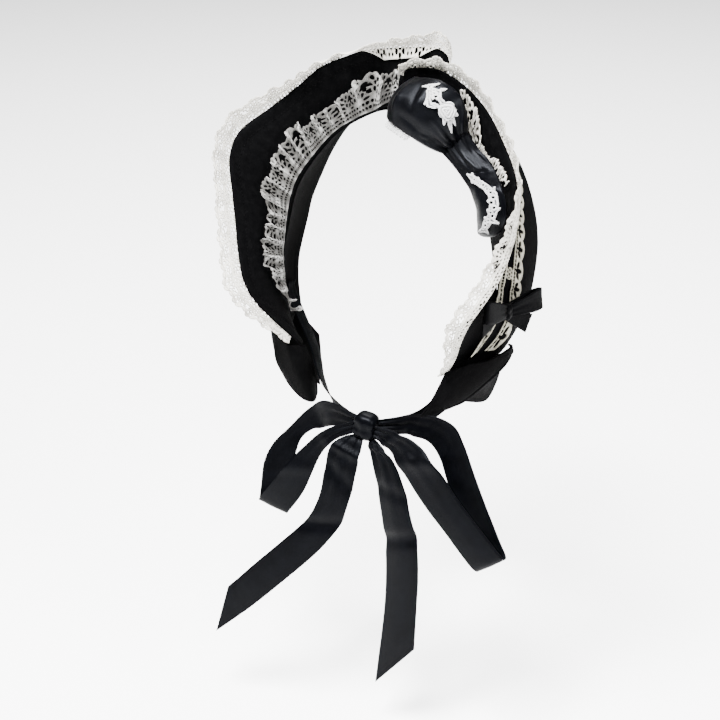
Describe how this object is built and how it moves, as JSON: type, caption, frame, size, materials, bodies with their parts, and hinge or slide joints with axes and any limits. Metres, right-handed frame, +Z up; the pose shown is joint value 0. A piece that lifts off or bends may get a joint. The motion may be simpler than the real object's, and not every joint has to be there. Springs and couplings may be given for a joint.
{
  "type": "half bonnet",
  "caption": "Black half bonnet with a stand-up brim edged in ivory lace, a gathered lace ruffle, satin bow, ear flaps and a ribbon tied under the chin.",
  "frame": {"origin": "on top of the wearer's head, under the middle of the band's front", "axes": "+Z up, -Y the way the wearer looks, +X to the wearer's left"},
  "size_m": [0.2756, 0.173, 0.5671],
  "materials": {
    "black_cloth": "matt black woven cloth",
    "black_satin": "black satin with a soft shine",
    "black_ribbon": "black ribbon with a faint shine",
    "ivory_lace": "ivory cotton lace",
    "white_lace": "white guipure lace"
  },
  "bodies": {
    "root": {"band": "black_cloth", "brim_left": "black_cloth", "brim_right": "black_cloth", "ear_flap_front_left": "black_cloth", "ear_flap_back_left": "black_cloth", "ear_flap_front_right": "black_cloth", "ear_flap_back_right": "black_cloth", "edge_lace_left": "ivory_lace", "edge_lace_right": "ivory_lace", "ruffle_left": "ivory_lace", "ruffle_right": "ivory_lace", "beading_lace": "ivory_lace", "beading_ribbon": "black_ribbon", "side_bow_left_knot": "black_ribbon", "side_bow_left_loop_back": "black_ribbon", "side_bow_left_loop_front": "black_ribbon", "side_bow_left_tail_back": "black_ribbon", "side_bow_left_tail_front": "black_ribbon", "side_bow_right_knot": "black_ribbon", "side_bow_right_loop_back": "black_ribbon", "side_bow_right_loop_front": "black_ribbon", "side_bow_right_tail_back": "black_ribbon", "side_bow_right_tail_front": "black_ribbon", "satin_puff": "black_satin", "satin_drape": "black_satin", "puff_lace": "white_lace", "rose_motif": "white_lace", "leaf_motif": "white_lace", "chin_strap_left": "black_satin", "chin_strap_right": "black_satin", "chin_knot": "black_satin", "chin_loop_left": "black_satin", "chin_loop_right": "black_satin", "chin_tail_left": "black_satin", "chin_tail_right": "black_satin"}
  },
  "joints": []
}
